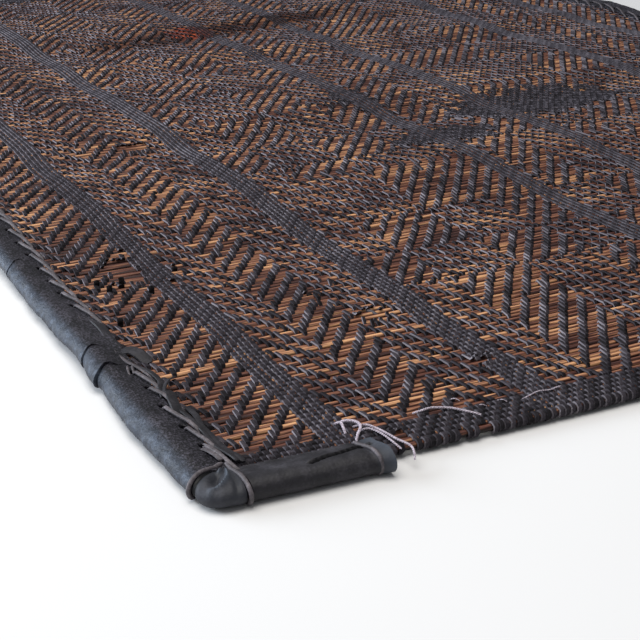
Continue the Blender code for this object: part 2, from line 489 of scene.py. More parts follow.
def draft(index):
    """For each reed: over (1) or under (-1), its lean, whether it is close, whether broken."""
    x = thong_xs[index]
    rows = np.arange(REED_COUNT)
    letters = [blocks for start, blocks in COLUMNS if x >= start * MM][-1]
    lean = np.array([1 if letters[b % len(letters)] == "R" else -1 for b in reed_blocks])
    close = inside(PACKED, x, reed_rows)
    close[:SELVEDGE_ROWS] = True
    close[-SELVEDGE_ROWS:] = True
    if thong_kinds[index] == "band":
        close[:] = True
    over = (rows - lean * index) % (2 * FLOAT_REEDS) < FLOAT_REEDS
    over = over ^ (slips[index] < MISSED)
    over = np.where(close, rows % 2 == index % 2, over)
    return np.where(over, 1, -1), np.where(close, 0, lean), close, inside(WORN, x, reed_rows)


def is_packed(index, y):
    """True where a thong lies squeezed between its neighbours, its cut edges hidden."""
    x = thong_xs[index]
    return any(((x - sx) / rx) ** 2 + ((y - sy) / ry) ** 2 < 1.0 for sx, sy, rx, ry in PACKED)


def in_selvedge(row):
    return row < SELVEDGE_ROWS or row >= REED_COUNT - SELVEDGE_ROWS


def runs_of(over, close, gone):
    """Runs of reeds that a thong passes the same way: (first, last)."""
    found = []
    first = 0
    for row in range(1, REED_COUNT + 1):
        if row < REED_COUNT:
            same = over[row] == over[first] and close[row] == close[first] and gone[row] == gone[first]
            if same:
                continue
        found.append((first, row - 1))
        first = row
    return found


def wrap_round(y, way):
    """Rings round the mat's last reed, from under it to over it: way is towards the outside."""
    turns = [math.radians(turn) for turn in WRAP_TURNS]
    reach = REED_RADIUS + 0.5 * THONG_THICK
    return [(y + way * reach * math.cos(turn), math.sin(turn), 1.0, 0.0, 0, 0.0) for turn in turns]


def rings_of(index, twin):
    """Strips of rings along one thong: y, height, width, sideways lean, float number, shift."""
    x = thong_xs[index]
    ys = bowed(x, reed_rows)
    over, leaning, close, gone = draft(index)
    if twin:
        over = -over
        gone = gone | ~close
    strips = [[]]
    for number, (first, last) in enumerate(runs_of(over, close, gone)):
        side = over[first]
        if gone[first]:
            strips.append([])
            continue
        fine = x < FINE_X and ys[first] < FINE_Y
        in_line = thong_kinds[index] == "band" or in_selvedge(first)
        if side < 0:
            table = UNDER if last > first else UNDER_SINGLE
        elif in_line:
            table = FINE_BAND if fine else PLAIN_BAND
        elif close[first]:
            table = FINE_TWIN if fine else PLAIN_TWIN
        else:
            table = FINE_OVER if fine else PLAIN_OVER
        for past, height, width in table:
            anchor = ys[last] if past > 0.0 else ys[first]
            y = anchor + (past + dice.uniform(-UNEVEN, UNEVEN)) * reed_pitch
            share = (y - ys[first]) / reed_pitch / 2.0 - 0.25 * (last - first)
            aside = (TWIN_DIVE if width == TWIN_PINCH else TWIN_SHIFT) if close[first] else 0.0
            if in_line:
                aside = BAND_SHIFT
            strips[-1].append((y, side * height, width, side * leaning[first] * share, number, aside))
    if strips[0] and over[0] > 0:
        strips[0] = wrap_round(ys[0], -1.0) + strips[0]
    if strips[-1] and over[-1] > 0:
        strips[-1] = strips[-1] + wrap_round(ys[-1], 1.0)[::-1]
    return [np.array(strip) for strip in strips if len(strip) > 1]


def lift_broken_ends(strip, index):
    """Lifts the ends of a strip that stop short of the mat's edge."""
    ends = bowed(thong_xs[index], reed_rows[[0, -1]])
    if strip[0, 0] > ends[0] + 2.0 * reed_pitch:
        strip[0, 1] = STUB_RISE
    if strip[-1, 0] < ends[1] - 2.0 * reed_pitch:
        strip[-1, 1] = STUB_RISE


def skin(strip, index, twin, lean):
    """Points, faces and face paint of one strip. The paint is how pale, and which tone."""
    x = thong_xs[index]
    y, height, width, slant, number, aside = strip.T
    fine = x < FINE_X and y[0] < FINE_Y
    section = FINE_SECTION if fine else PLAIN_SECTION
    count = len(section)
    level = underside(y * half_length / bowed(x, half_length))
    z = level + REED_MIDDLE + height * (REED_RADIUS + 0.5 * THONG_THICK)
    ahead = np.stack([np.gradient(y), np.gradient(z)])
    ahead /= np.maximum(np.hypot(*ahead), 1e-9)
    in_edge = abs(y) > half_length - SELVEDGE_ROWS * reed_pitch
    full_width = BAND_WIDTH if thong_kinds[index] == "band" else np.where(in_edge, BAND_WIDTH, THONG_WIDTH)
    jog = dice.uniform(-JOG_MOST, JOG_MOST, int(number.max()) + 1)[number.astype(int)] * MM
    wander = WAVER * np.sin(y * WAVER_ALONG + index * WAVER_APART)
    wander += DRIFT * np.sin(y * DRIFT_ALONG + x * DRIFT_ACROSS)
    centre = x + lean + wander + jog + FLOAT_LEAN * slant + (aside if twin else -aside)
    half = 0.5 * full_width * width * dice.uniform(*WIDTHS, len(y))
    thick = THONG_THICK * dice.uniform(*THICKNESSES, len(y))
    ring = np.zeros((len(y), count, 3))
    ring[:, :, 0] = centre[:, None] + half[:, None] * section[None, :, 0]
    ring[:, :, 1] = y[:, None] - (ahead[1] * thick)[:, None] * section[None, :, 1]
    ring[:, :, 2] = z[:, None] + (ahead[0] * thick)[:, None] * section[None, :, 1]
    faces = []
    tints = []
    for k in range(len(y) - 1):
        float_tone = (number[k] * TONE_ALONG + index * TONE_ACROSS) % 1.0
        edge = PACKED_EDGE if is_packed(index, y[k]) else (1.0 if fine else PLAIN_EDGE)
        if thong_kinds[index] == "band":
            edge = min(edge, FINE_BAND_EDGE if fine else BAND_EDGE)
            float_tone = BAND_TONES[0] + BAND_TONES[1] * float_tone
        elif in_edge[k]:
            edge = min(edge, SELVEDGE_EDGE)
        for s in range(count):
            a = count * k + s
            b = count * k + (s + 1) % count
            faces.append((a, a + count, b + count, b))
            tints += [(edge if s == 0 else 0.0, float_tone, 0.0, 1.0)] * 4
    end = count * (len(y) - 1)
    faces.append(tuple(range(count)))
    faces.append(tuple(end + s for s in reversed(range(count))))
    tints += [(CUT_END, 0.0, 0.0, 1.0)] * 2 * count
    return ring.reshape(-1, 3), faces, tints


def weave_stretch(name):
    points = []
    faces = []
    tints = []
    base = 0
    for index in (k for k in range(thong_count) if thong_homes[k] == name):
        lean = dice.uniform(-LEAN_MOST, LEAN_MOST) * MM
        dice.uniform()             # one more draw for each thong, which the draws after it count on
        for twin in (False, True):
            for strip in rings_of(index, twin):
                if not twin:
                    lift_broken_ends(strip, index)
                made, around_faces, paints = skin(strip, index, twin, lean)
                points.append(made)
                faces += [tuple(base + k for k in face) for face in around_faces]
                tints += paints
                base += len(made)
    piece = make_mesh(name, np.vstack(points), faces)
    smooth_shade(piece, THONG_CREASE)
    paint(piece, "tint", tints, "CORNER")
    return piece


# The fold's painted shade and the red patch, on the thongs.
FOLD_SHADED_THONG = (0.46, 0.40, 0.38)
RED_THONG = (0.75, 0.45, 0.40)
strap, tree, shader = new_material("woven_thong")
tint = read_paint(tree, "tint")
grain = object_noise(tree, 1.0, stretch=(1500.0, 260.0, 900.0), detail=4.0)
dust = object_noise(tree, 30.0, detail=3.0)
flat_colour = ramp(tree, weighted(tree, (grain, 0.0, 0.6), (tint[1], 0.0, 0.4)), [
    (0.25, (0.010, 0.009, 0.010)),
    (0.52, (0.027, 0.024, 0.029)),
    (0.78, (0.070, 0.062, 0.074)),
])
edge_colour = ramp(tree, weighted(tree, (dust, 0.0, 0.6), (tint[1], 0.0, 0.5)), [
    (0.30, (0.040, 0.036, 0.042)),
    (0.55, (0.125, 0.113, 0.130)),
    (0.80, (0.310, 0.285, 0.315)),
])
strip = mix_colour(tree, tint[0], flat_colour, edge_colour)
surface(tree, shader, with_fold_shade(tree, strip, FOLD_SHADED_THONG, RED_THONG), 0.82, 0.07)
bump(tree, shader, grain, 0.2 * MM, 0.6)

for name in stretches:
    piece = weave_stretch(name)
    piece.data.materials.append(strap)
    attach(piece, "root")


# Leather binding
# A wide strip of soft dark leather rolled over the reed ends on each side. Its
# inner edge lies on the weave as a thin flap, and its outer side is a firm roll.
# It is pieced from several lengths, lapped over each other.
BINDING_WIDTH = 18.5 * MM
BINDING_CROWN = 9.6 * MM
CROWN_AT = 12.5 * MM
FLAP_TOP = 7.1 * MM
SLOT_LOW = 0.8 * MM
SLOT_HIGH = 5.6 * MM
SLOT_DEPTH = 14.2 * MM
RING_GAP = 2.8 * MM
SECTION_STEP = 2.0 * MM
ROWS_APART = 0.1 * MM
TOP_STEPS = 16
LEATHER_CREASE = 55.0              # degrees
UNPAINTED = (0.0, 0.0, 0.0, 1.0)
RUBBED_SHEEN_FROM = 13.2 * MM            # the outer side is rubbed smooth, with a painted bluish sheen, from here
RUBBED_SHEEN_EASE = 3.6 * MM
RUBBED_SHEEN_LOW = 2.0 * MM              # and from this height up
RUBBED_SHEEN_RISE = 4.0 * MM
TIE_IN = 5.0 * MM                  # the tie starts this far back along the inner edge
TIE_SLANT = 0.5                    # and runs this steeply out to the corner
TIE_REACH = 26.0 * MM              # stretch of binding that is pulled to that slant
LAP_LONG = 30.0 * MM               # a lap thins out over this length
LAP_LIP = 1.6 * MM
LAP_HIGH = 1.0 * MM                # the highest lap, whose crack has the darkest painted shade
LAP_LIFT = 0.4                     # of its height, at its lip
LAP_NEAR = 9.0 * MM
LAP_WAVE = 1.1 * MM                # its edge isn't straight, then radians a metre
LAP_WAVES = 620.0
LAP_DROP = 3.0 * MM                # how far forwards its edge runs, down the outer side
LAP_DROP_FROM = 0.8                # of the way to the crown
CRACK_LONG = 2.4 * MM              # the leather under a lap's edge is pressed in for this length
CRACK_DEEP = 0.5                   # of the lap's height
# painted shade darkens the crack for this length from a lap's edge
CRACK_SHADE_LONG = 0.8 * MM
CRACK_FROM = 0.6                   # of the way to the crown: from here the crack's painted shade darkens
CRACK_EASE = 0.5
CRACK_ON_TOP = 0.15
CRACK_SEEN = 0.65
CRACK_BROKEN = 1.6                 # how much it comes and goes
CRACK_GRAIN = 260.0
CRACK_BLOCKS = 50.0                # a new pattern for each 20 mm of Y
LAP_ROWS = (-1.4, -0.9, -0.5, -0.12, 0.05, 1.0)   # mm behind its edge
LAPS = in_metres([
    # y, step height in mm
    (-373.0, 1.00),
    (-354.0, 0.60),
    (-236.0, 0.40),
    (-120.0, 0.55),
    (24.0, 0.40),
    (171.0, 0.60),
    (318.0, 0.45),
])

# Holes that the lacing comes out of, from the front: the ones that show in the photo.
HOLES = in_metres([
    # y, distance from the inner edge in mm
    (-453.7, 2.4),
    (-436.8, 3.3),
    (-416.9, 4.3),
    (-397.3, 2.7),
    (-380.6, 3.6),
])
HOLES_AGAIN = -300.0 * MM          # past a stretch laced with long strips
HOLES_END = 455.0 * MM
HOLE_PITCH = 18.0 * MM
HOLE_GRAIN = 31.0
HOLE_ASTRAY = 2.0 * MM             # how uneven they are along the edge
HOLE_ASIDE = 1.2 * MM              # and across it
HOLE_ROWS = (-1.0, -0.55, 0.0, 0.55, 1.0)
HOLE_IN = 3.4 * MM
HOLE_LONG = 2.2 * MM
HOLE_WIDE = 1.5 * MM
HOLE_DEEP = 1.0 * MM
# How strongly each hole's dent is darkened with painted shade.
HOLE_SHADE = 2.0
hole_places = HOLES + [(y + HOLE_ASTRAY * noise.noise(Vector((y * HOLE_GRAIN, 0.0, 0.0))),
                        HOLE_IN + HOLE_ASIDE * noise.noise(Vector((y * HOLE_GRAIN, 4.0, 0.0))))
                       for y in np.arange(HOLES_AGAIN, HOLES_END, HOLE_PITCH)]

# Fuller stretches of the roll.
SWELLINGS = in_metres([
    # y, half length, how far it stands out in mm
    (-425.0, 42.0, 1.9),
    (-367.0, 12.0, 0.9),
    (-300.0, 45.0, 0.8),
    (-40.0, 60.0, 1.2),
    (250.0, 55.0, 1.0),
    (420.0, 42.0, 1.4),
])

# How the soft leather is uneven: size of the waves in metres, and their depth.
BROAD = (0.021, 0.8 * MM)
SMALL = (0.006, 0.45 * MM)
WRINKLES = (0.0024, 0.22 * MM)
SWELL_EASE = 0.7
LIFT_INSIDE = 0.15                 # how much of all that lifts the leather at its inner edge
LIFT_MORE = 0.5                    # and how much more at the crown

SIDES = ((-1, "left"), (1, "right"))
binding_box_low, binding_box_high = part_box("binding_right")
corner_x = binding_box_low.x
corner_y = binding_box_high.y + RING_GAP / 2.0


def held(share):
    """A share, held between 0 and 1."""
    return min(1.0, max(0.0, share))


def tie_shift(s):
    """How far past the square corner the slanted tie crosses the leather."""
    return TIE_SLANT * s - TIE_IN


def roll_height(s):
    """Height of the leather's upper side, s outwards from its inner edge."""
    ease = 0.5 - 0.5 * math.cos(math.pi * min(s / CROWN_AT, 1.0))
    return FLAP_TOP + (BINDING_CROWN - FLAP_TOP) * ease


def outer_side(top_steps=9, nose_steps=16):
    """The leather's outer side from flap to floor: (outwards from the inner edge, height)."""
    line = []
    for step in range(top_steps):
        s = CROWN_AT * step / top_steps
        line.append((s, roll_height(s)))
    for step in range(nose_steps + 1):
        turn = math.pi * step / nose_steps
        line.append((CROWN_AT + (BINDING_WIDTH - CROWN_AT) * math.sin(turn),
                     BINDING_CROWN * (0.5 + 0.5 * math.cos(turn))))
    return line


SLOT = [(0.0, 0.0), (0.0, SLOT_LOW), (SLOT_DEPTH, SLOT_LOW), (SLOT_DEPTH, SLOT_HIGH), (0.0, SLOT_HIGH)]


def select_only(piece):
    bpy.ops.object.select_all(action="DESELECT")
    piece.select_set(True)
    bpy.context.view_layer.objects.active = piece


def lofted(name, *strips):
    """One piece of closed skins, each through its own like sections."""
    points = []
    faces = []
    for sections in strips:
        count = len(sections[0])
        first = len(points)
        faces += tube_faces(first, len(sections), count)
        points += [point for section in sections for point in section]
        faces.append(tuple(range(first, first + count)))
        faces.append(tuple(reversed(range(len(points) - count, len(points)))))
    piece = make_mesh(name, np.array(points), faces)
    select_only(piece)
    bpy.ops.object.mode_set(mode="EDIT")
    bpy.ops.mesh.select_all(action="SELECT")
    bpy.ops.mesh.normals_make_consistent(inside=False)
    bpy.ops.object.mode_set(mode="OBJECT")
    smooth_shade(piece, LEATHER_CREASE)
    return piece


def leather_piece(name, sections, shade_and_sheen_paints):
    """A loft with paint for the leather's material: how dark its painted shade is, and how much painted
    sheen with wear it has.
    """
    piece = lofted(name, sections)
    paint(piece, "shade_and_sheen", shade_and_sheen_paints, "POINT")
    return piece


def swell(place, size, depth):
    """How far soft leather stands out or in at a place."""
    return depth * noise.noise(Vector(place) / size)


def lap_rise(y):
    """How much a lap thickens the leather behind its edge, and how dark the painted shade in the crack under
    it is.
    """
    rise = 0.0
    crack = 0.0
    for at, step in LAPS:
        past = at - y
        if -LAP_LONG < past <= 0.0:
            rise += step * (1.0 + past / LAP_LONG) ** 2
            rise += LAP_LIFT * step * max(0.0, 1.0 + past / LAP_LIP)
        elif 0.0 < past < CRACK_LONG:
            rise -= CRACK_DEEP * step * (1.0 - past / CRACK_LONG)
            crack = max(crack, (1.0 - (past / CRACK_SHADE_LONG) ** 2) * step / LAP_HIGH)
    return rise, crack


def lap_bend(y, s):
    """The lap's edge isn't straight: it bends forwards down the outer side."""
    near = max(0.0, 1.0 - min(abs(y - at) for at, _ in LAPS) / LAP_NEAR)
    past_crown = max(0.0, s - LAP_DROP_FROM * CROWN_AT) / (BINDING_WIDTH - CROWN_AT)
    return near * (LAP_WAVE * math.sin(s * LAP_WAVES) - LAP_DROP * past_crown)


def crack_share(y, s):
    """The crack's painted shade shows on the outer side, and fades in and out along its length."""
    on_side = held((s - CRACK_FROM * CROWN_AT) / (CRACK_EASE * CROWN_AT))
    broken = noise.noise(Vector((s * CRACK_GRAIN, round(y * CRACK_BLOCKS), 8.0)))
    return (CRACK_ON_TOP + (1.0 - CRACK_ON_TOP) * on_side) * held(CRACK_SEEN + CRACK_BROKEN * broken)


def leather_rows(ends):
    """The leather's rows along Y, closer together at each lap and at each hole."""
    rows = list(np.linspace(-ends, ends, int(2.0 * ends / SECTION_STEP) + 1))
    for at, _ in LAPS:
        rows += [at + step * MM for step in LAP_ROWS]
    for at, _ in hole_places:
        rows += [at + share * HOLE_LONG for share in HOLE_ROWS]
    kept = []
    for y in sorted(rows):
        if not kept or y - kept[-1] > ROWS_APART:
            kept.append(y)
    return kept


def binding(side, side_name):
    line = outer_side(top_steps=TOP_STEPS)
    ends = binding_box_high.y
    sections = []
    shade_and_sheen_paints = []
    for y in leather_rows(ends):
        rise = underside(y) - ease_floor[0]
        full = sum(out * max(0.0, 1.0 - ((y - at) / half) ** 2) ** SWELL_EASE
                   for at, half, out in SWELLINGS)
        pull = max(0.0, 1.0 - (ends - abs(y)) / TIE_REACH) ** 2
        lap, crack = lap_rise(y)
        hole_y, hole_in = min(hole_places, key=lambda hole: abs(hole[0] - y))
        section = []
        for k, (s, z) in enumerate(line):
            out = min(1.0, s / CROWN_AT)
            push = swell((side * 0.4, y, k * 0.004), *BROAD) + swell((y, s, 2.0), *SMALL)
            push += swell((y * 0.5, s, 7.0), *WRINKLES) + lap * out + full
            lift = LIFT_INSIDE + LIFT_MORE * out
            up = push * lift * max(0.0, z - SLOT_HIGH) / (BINDING_CROWN - SLOT_HIGH)
            wide = push * max(0.0, (s - CROWN_AT) / (BINDING_WIDTH - CROWN_AT))
            hollow = 1.0 - ((y - hole_y) / HOLE_LONG) ** 2 - ((s - hole_in) / HOLE_WIDE) ** 2
            hollow = math.sqrt(max(0.0, hollow)) if k < TOP_STEPS else 0.0
            along = y + math.copysign(pull * tie_shift(s), y) + lap_bend(y, s)
            section.append((side * (corner_x + s + wide), along, z + rise + up - HOLE_DEEP * hollow))
            # Painted sheen, with wear, on the upper part of the outer side.
            rubbed = held((s - RUBBED_SHEEN_FROM) / RUBBED_SHEEN_EASE) * held((z - RUBBED_SHEEN_LOW) / RUBBED_SHEEN_RISE)
            # Painted shade in the lacing holes and in the cracks under the laps.
            painted_shade = HOLE_SHADE * hollow + crack * crack_share(y, s)
            shade_and_sheen_paints.append((min(1.0, painted_shade), rubbed, 0.0, 1.0))
        section += [(side * (corner_x + s), y + math.copysign(pull * tie_shift(s), y), z + rise)
                    for s, z in SLOT]
        shade_and_sheen_paints += [UNPAINTED] * len(SLOT)
        sections.append(section)
    return leather_piece(f"leather_binding_{side_name}", sections, shade_and_sheen_paints)


# Painted shade turns the leather near black in holes and cracks; painted sheen, with wear, makes the rubbed
# outer side paler and bluish.
PAINTED_SHADE_BLACK = (0.0015, 0.0015, 0.002)
hide, tree, shader = new_material("bound_leather")
shade_and_sheen = read_paint(tree, "shade_and_sheen")
speckle = object_noise(tree, 950.0, detail=2.0, rough=0.7)
mottle = object_noise(tree, 60.0, detail=4.0)
worn = object_noise(tree, 260.0, detail=3.0)
dull = ramp(tree, weighted(tree, (speckle, 0.0, 0.75), (mottle, 0.0, 0.25)), [
    (0.38, (0.0020, 0.0020, 0.0030)),
    (0.50, (0.0075, 0.0070, 0.0105)),
    (0.60, (0.056, 0.052, 0.068)),
])
wear_and_sheen = ramp(tree, weighted(tree, (speckle, 0.0, 0.35), (worn, 0.0, 0.65)), [
    (0.32, (0.014, 0.018, 0.026)),
    (0.52, (0.036, 0.046, 0.066)),
    (0.70, (0.088, 0.112, 0.156)),
])
dull_or_wear_and_sheen = mix_colour(tree, shade_and_sheen[1], dull, wear_and_sheen)
satin = ramp(tree, mottle, [
    (0.30, (0.42, 0.42, 0.42)),
    (0.70, (0.58, 0.58, 0.58)),
])
shine = ramp(tree, shade_and_sheen[0], [
    (0.0, (0.30, 0.30, 0.30)),
    (0.6, (0.0, 0.0, 0.0)),
])
surface(tree, shader, mix_colour(tree, shade_and_sheen[0], dull_or_wear_and_sheen, PAINTED_SHADE_BLACK), satin, shine)
bump(tree, shader, weighted(tree, (speckle, 0.0, 1.0), (worn, 0.0, 0.8)), 0.5 * MM, 0.9)

for side, side_name in SIDES:
    piece = binding(side, side_name)
    piece.data.materials.append(hide)
    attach(piece, "root")
    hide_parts(f"binding_{side_name}")


# Corner caps
# A patch of the same leather drawn over each corner and gathered, so that it
# bulges between the two thongs that tie it down and dimples where it is pulled.
CAP_TURNS = 44
CAP_TOP_STEPS = 18
CAP_NOSE_STEPS = 24
CAP_FROM = 0.075                   # radians from the binding's tie
CAP_TO = 0.055                     # and from the sleeve's
CAP_PULLED = 0.965                 # at its ties the cap is drawn in to this share
CAP_BULGE = 0.035
HUB = 1.6 * MM                     # the gathered leather round the inner corner
CAP_WIDE = 19.4 * MM               # reach from the inner corner, out past the binding
CAP_LONG = 24.6 * MM               # reach from the inner corner, out past the sleeve
CAP_SQUARE = 3.0                   # 2 would be an oval corner, more is squarer
CAP_SLOT = 0.82
CROWN_SHARE = 0.42                 # of the way from the inner corner over the crown to the floor
FOLD_HIGH = 1.9 * MM
FOLD_HALF = 0.06                   # of the way from one tie to the other
FOLD_DOWN = 0.33
FOLD_LONG = 0.25
HOOK_AT = 0.72                     # the fold starts here and hooks over towards the binding
HOOK_TURN = 0.32
HOOK_DOWN = 0.30
HOOK_LONG = 0.24
KNOB = 0.8                         # of the fold's height
BOWL_DEPTH = 2.3 * MM
DENT_DEPTH = 0.5 * BOWL_DEPTH
CAP_WAVES = (0.010, 0.7 * MM)
CAP_FOOT = 1.5 * MM                # the cap's forms fade out below this height
HUB_FORMS = 0.2                    # share of them that is left at the inner corner
HUB_EASE = 4.0
CAP_RUBBED_SHEEN = 0.2                   # painted sheen, with wear, on the cap beside its fold
GROOVE_DEPTH = 0.9 * MM
GROOVE_AT = 0.05
GROOVE_HALF = 0.06
GROOVE_SHADE = 1.2

# Round forms in the cap: way from tie to tie, half of it, way down to the floor, half of it.
KNOB_PLACE = (0.40, 0.09, 0.17, 0.06)
BOWL_PLACE = (0.42, 0.15, 0.36, 0.13)
DENT_PLACE = (0.86, 0.07, 0.50, 0.18)
hub_y = corner_y - TIE_IN


def cap_reach(turn):
    """From the inner corner to the cap's outer edge, in that direction."""
    wide = (math.cos(turn) / CAP_WIDE) ** CAP_SQUARE
    long = (math.sin(turn) / CAP_LONG) ** CAP_SQUARE
    return (wide + long) ** (-1.0 / CAP_SQUARE)


def from_hub(side, end, radius, turn, z):
    """A point this far from the gathered inner corner, in this direction."""
    return side * (corner_x + radius * math.cos(turn)), end * (hub_y + radius * math.sin(turn)), z


def mound(share, down, at, half, down_at, down_half):
    return math.exp(-((share - at) / half) ** 2 - ((down - down_at) / down_half) ** 2)


def corner_cap(side, end, name):
    first = math.atan(TIE_SLANT) + CAP_FROM
    last = 0.5 * math.pi - CAP_TO
    sections = []
    shade_and_sheen_paints = []
    for step in range(CAP_TURNS + 1):
        share = step / CAP_TURNS
        turn = first + (last - first) * share
        reach = cap_reach(turn) * (CAP_PULLED + CAP_BULGE * math.sin(math.pi * share))
        section = []
        for s, z in outer_side(CAP_TOP_STEPS, CAP_NOSE_STEPS):
            out = s / BINDING_WIDTH
            upward = 1.0 if s < CROWN_AT else 2.0 * z / BINDING_CROWN - 1.0
            outward = math.sqrt(max(0.0, 1.0 - upward ** 2))
            down = CROWN_SHARE * s / CROWN_AT
            if s >= CROWN_AT:
                down = CROWN_SHARE + (1.0 - CROWN_SHARE) * math.acos(max(-1.0, min(1.0, upward))) / math.pi
            hook = HOOK_AT - HOOK_TURN * held((down - HOOK_DOWN) / HOOK_LONG) ** 2
            fold = math.exp(-((share - hook) / FOLD_HALF) ** 2 - ((down - FOLD_DOWN) / FOLD_LONG) ** 4)
            fold += KNOB * mound(share, down, *KNOB_PLACE)
            groove = math.exp(-((share - GROOVE_AT) / GROOVE_HALF) ** 2) * min(1.0, 2.0 * out)
            push = FOLD_HIGH * fold - GROOVE_DEPTH * groove - BOWL_DEPTH * mound(share, down, *BOWL_PLACE)
            push -= DENT_DEPTH * mound(share, down, *DENT_PLACE)
            push += swell((share * 0.05, down * 0.03, side + 3.0 * end), *CAP_WAVES)
            push *= min(1.0, z / CAP_FOOT) * min(1.0, HUB_FORMS + HUB_EASE * down)
            radius = HUB + (reach - HUB) * out + outward * push
            section.append(from_hub(side, end, radius, turn, z + upward * push))
            # Painted shade in the groove by the tie; painted sheen, with wear, over the cap and most along
            # its fold.
            shade_and_sheen_paints.append((min(1.0, GROOVE_SHADE * groove), min(1.0, CAP_RUBBED_SHEEN + fold), 0.0, 1.0))
        for s, z in SLOT:
            radius = HUB + (reach * CAP_SLOT - HUB) * s / SLOT_DEPTH
            section.append(from_hub(side, end, radius, turn, z))
        shade_and_sheen_paints += [UNPAINTED] * len(SLOT)
        sections.append(section)
    return leather_piece(name, sections, shade_and_sheen_paints)


smooth_hide, tree, shader = new_material("smooth_leather")
shade_and_sheen = read_paint(tree, "shade_and_sheen")
soft = object_noise(tree, 110.0, detail=4.0)
pores = object_noise(tree, 900.0, detail=2.0)
plain = ramp(tree, weighted(tree, (soft, 0.0, 0.7), (pores, 0.0, 0.3)), [
    (0.34, (0.008, 0.0075, 0.0095)),
    (0.50, (0.017, 0.0160, 0.0200)),
    (0.66, (0.040, 0.0380, 0.0460)),
])
# Painted sheen, with wear, makes it paler and bluish; painted shade turns it near black.
with_sheen_and_wear = mix_colour(tree, shade_and_sheen[1], plain, (0.062, 0.074, 0.096))
satin = ramp(tree, soft, [
    (0.30, (0.50, 0.50, 0.50)),
    (0.70, (0.66, 0.66, 0.66)),
])
surface(tree, shader, mix_colour(tree, shade_and_sheen[0], with_sheen_and_wear, PAINTED_SHADE_BLACK), satin, 0.30)
bump(tree, shader, weighted(tree, (soft, 0.0, 1.0), (pores, 0.0, 0.5)), 0.45 * MM, 0.8)

CORNERS = [(side, end, f"{end_name}_{side_name}")
           for side, side_name in SIDES for end, end_name in ((-1, "front"), (1, "back"))]
for side, end, corner in CORNERS:
    piece = corner_cap(side, end, f"leather_cap_{corner}")
    piece.data.materials.append(smooth_hide)
    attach(piece, "root")
    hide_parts(f"corner_cap_{corner}")


# Edge sleeves
# A short rolled sleeve of leather over the selvedge beside each corner. Its
# upper edge is folded under, which leaves a long slit, and its open end flares.
SLEEVE_STEPS = 44
SLEEVE_TOP_STEPS = 24
SLEEVE_SHORT = 3.4 * MM            # the leather ends this much before the solid sleeve
SLEEVE_FLARE = 0.10
NECK = 0.06                        # how much the collar's thong draws the sleeve in
NECK_HALF = 0.03
SLEEVE_WAVES = (0.012, 0.5 * MM)
SLEEVE_WRINKLES = (0.004, 0.25 * MM)
SLIT_FROM = 319.0 * MM
SLIT_TO = 290.0 * MM
SLIT_IN_FROM = 11.6 * MM           # the slit runs slantwise, this far from the inner edge
SLIT_IN_TO = 6.0 * MM
SLIT_HALF = 0.55 * MM
SLIT_DEEP = 1.6 * MM
SLIT_SHADE = 1.5
END_RUBBED_SHEEN = 0.8                   # how much painted sheen, with wear, the open end has
LIP_HIGH = 0.9 * MM
LIP_HALF = 1.2 * MM
COLLAR_AT = 0.87                   # of the way from the cap: the end beyond this is drawn in, then flares

sleeve_low, sleeve_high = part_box("edge_sleeve_back_right")


def sleeve_edge(x):
    """Y of the sleeve's inner edge, which keeps to the mat's bowed end."""
    bow = end_bow * (1.0 - (x / half_width) ** 2)
    return corner_y + bow - end_bow * (1.0 - (corner_x / half_width) ** 2)


def edge_sleeve(side, end, name):
    sections = []
    shade_and_sheen_paints = []
    for step in range(SLEEVE_STEPS + 1):
        share = step / SLEEVE_STEPS
        x = sleeve_high.x + (sleeve_low.x + SLEEVE_SHORT - sleeve_high.x) * share
        past = max(0.0, (share - COLLAR_AT) / (1.0 - COLLAR_AT))
        flare = SLEEVE_FLARE * math.sin(0.5 * math.pi * past)
        neck = NECK * math.exp(-((share - COLLAR_AT) / NECK_HALF) ** 2)
        slit_share = held((SLIT_FROM - x) / (SLIT_FROM - SLIT_TO))
        slit_at = SLIT_IN_FROM + (SLIT_IN_TO - SLIT_IN_FROM) * slit_share
        open_here = 1.0 if SLIT_TO < x < SLIT_FROM else 0.0
        section = []
        for s, z in outer_side(SLEEVE_TOP_STEPS):
            grow = 1.0 + flare - neck
            slit = open_here * math.exp(-((s - slit_at) / SLIT_HALF) ** 4)
            lip = open_here * math.exp(-((s - slit_at + LIP_HALF) / LIP_HALF) ** 2)
            top = 1.0 if z > FLAP_TOP else 0.0
            push = top * (swell((x, s, 5.0 * side + end), *SLEEVE_WAVES) + LIP_HIGH * lip)
            push += swell((x, 0.5 * s, 9.0), *SLEEVE_WRINKLES) - top * SLIT_DEEP * slit
            out = sleeve_edge(x) + s * (1.0 + flare)
            section.append((side * x, end * out, max(z * grow + push, 0.0)))
            # Painted shade in the slit; painted sheen, with wear, towards the open end.
            shade_and_sheen_paints.append((min(1.0, SLIT_SHADE * slit), END_RUBBED_SHEEN * past, 0.0, 1.0))
        section += [(side * x, end * (sleeve_edge(x) + s), z) for s, z in SLOT]
        shade_and_sheen_paints += [UNPAINTED] * len(SLOT)
        sections.append(section)
    return leather_piece(name, sections, shade_and_sheen_paints)


for side, end, corner in CORNERS:
    piece = edge_sleeve(side, end, f"leather_sleeve_{corner}")
    piece.data.materials.append(smooth_hide)
    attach(piece, "root")
    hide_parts(f"edge_sleeve_{corner}")


# Thong rings
# A round-cut leather thong is tied over each end of every corner cap, and a thinner
# one holds each sleeve's collar. Handling has rubbed them paler and browner.
RING_RADIUS = 0.98 * MM
COLLAR_THONG = 0.88 * MM
RING_START = 1.4 * MM
RING_SUNK = 0.2                    # of its radius, into the leather
RING_OFF_FLOOR = 0.1 * MM
COLLAR_SLANT = 0.12
COLLAR_ROUND = 1.015
COLLAR_UP = 0.2 * MM
RING_SIDES = 10
REED_CLEAR = 7.7 * MM
END_TAPER = 0.55


